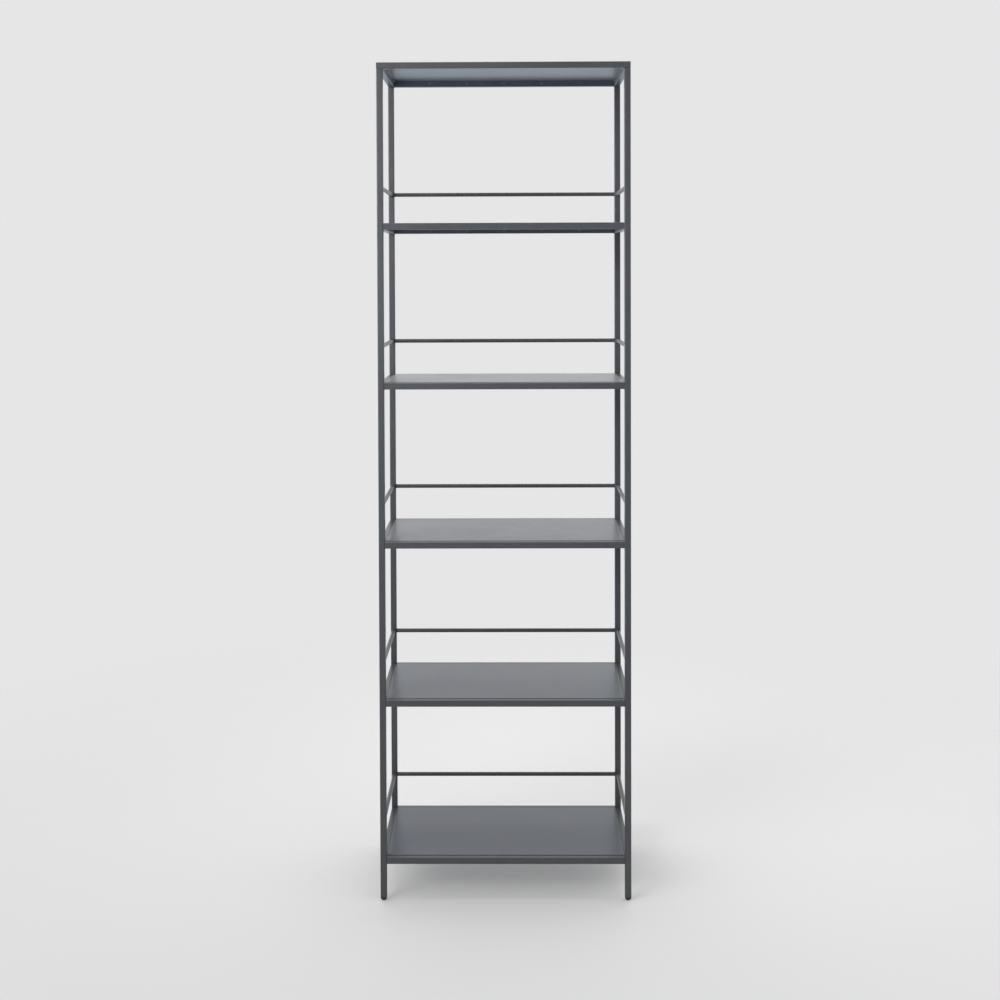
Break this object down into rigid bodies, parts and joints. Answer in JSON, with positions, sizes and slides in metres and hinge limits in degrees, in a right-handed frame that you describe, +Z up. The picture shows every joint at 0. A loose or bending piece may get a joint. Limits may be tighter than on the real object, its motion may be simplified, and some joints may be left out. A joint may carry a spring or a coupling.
{
  "type": "tiered shelf",
  "caption": "Tall open etagere of square steel tube with inset sheet-metal shelves, a low rod gallery round the back and sides of each shelf, and small rounded feet.",
  "frame": {"origin": "on the floor under the middle of the unit, at the bottom centre of its box", "axes": "+X to the right seen from the front, +Y from the open front to the back, +Z up"},
  "size_m": [0.6, 0.32, 2],
  "materials": {
    "frame": "satin dark grey powder coat",
    "panel": "satin dark blue-grey powder coat on folded sheet",
    "gallery": "satin dark grey powder coat",
    "foot": "moulded, fine matt grain"
  },
  "bodies": {
    "root": {"front_left_foot": "foot", "front_left_post": "frame", "front_right_foot": "foot", "front_right_post": "frame", "gallery_1_left_rod": "gallery", "gallery_1_rear_rod": "gallery", "gallery_1_right_rod": "gallery", "gallery_2_left_rod": "gallery", "gallery_2_rear_rod": "gallery", "gallery_2_right_rod": "gallery", "gallery_3_left_rod": "gallery", "gallery_3_rear_rod": "gallery", "gallery_3_right_rod": "gallery", "gallery_4_left_rod": "gallery", "gallery_4_rear_rod": "gallery", "gallery_4_right_rod": "gallery", "gallery_5_left_rod": "gallery", "gallery_5_rear_rod": "gallery", "gallery_5_right_rod": "gallery", "rear_left_foot": "foot", "rear_left_post": "frame", "rear_right_foot": "foot", "rear_right_post": "frame", "shelf_1_front_rail": "frame", "shelf_1_left_rail": "frame", "shelf_1_panel": "panel", "shelf_1_rear_rail": "frame", "shelf_1_right_rail": "frame", "shelf_2_front_rail": "frame", "shelf_2_left_rail": "frame", "shelf_2_panel": "panel", "shelf_2_rear_rail": "frame", "shelf_2_right_rail": "frame", "shelf_3_front_rail": "frame", "shelf_3_left_rail": "frame", "shelf_3_panel": "panel", "shelf_3_rear_rail": "frame", "shelf_3_right_rail": "frame", "shelf_4_front_rail": "frame", "shelf_4_left_rail": "frame", "shelf_4_panel": "panel", "shelf_4_rear_rail": "frame", "shelf_4_right_rail": "frame", "shelf_5_front_rail": "frame", "shelf_5_left_rail": "frame", "shelf_5_panel": "panel", "shelf_5_rear_rail": "frame", "shelf_5_right_rail": "frame", "top_front_rail": "frame", "top_left_rail": "frame", "top_panel": "panel", "top_rear_rail": "frame", "top_right_rail": "frame"}
  },
  "joints": []
}
